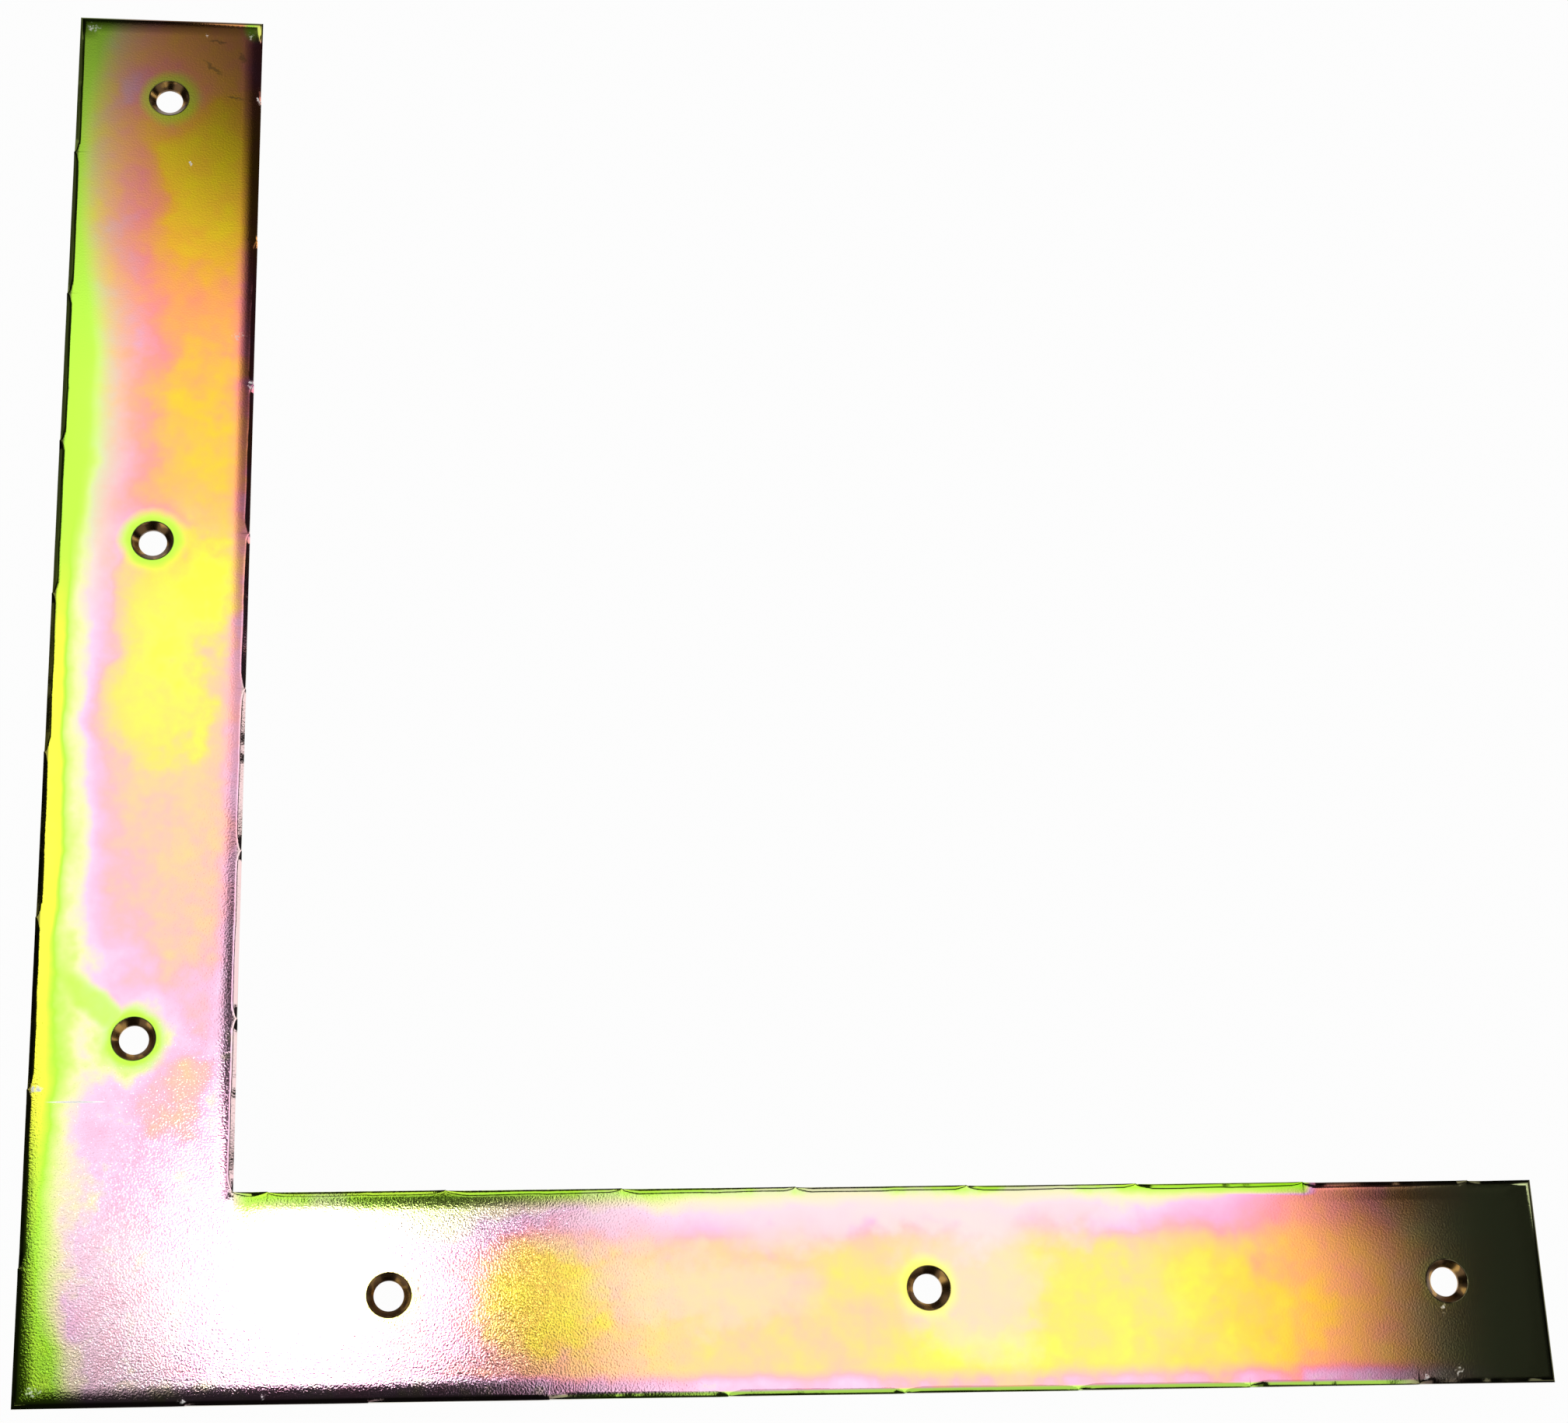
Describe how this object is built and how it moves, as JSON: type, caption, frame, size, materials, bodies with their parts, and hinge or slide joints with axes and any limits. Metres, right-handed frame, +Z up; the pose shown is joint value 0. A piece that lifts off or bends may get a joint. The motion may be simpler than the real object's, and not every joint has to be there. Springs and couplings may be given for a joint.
{
  "type": "flat corner brace",
  "caption": "Flat L-shaped corner brace punched from yellow-chromated steel sheet, with a line of countersunk screw holes along each arm.",
  "frame": {"origin": "on the underside, where the centre lines of the two arms cross", "axes": "+X along one arm, +Y along the other, +Z up out of the countersunk face"},
  "size_m": [0.3, 0.3, 0.002],
  "materials": {
    "chromated_steel": "satin"
  },
  "bodies": {
    "root": {"corner_brace": "chromated_steel"}
  },
  "joints": []
}
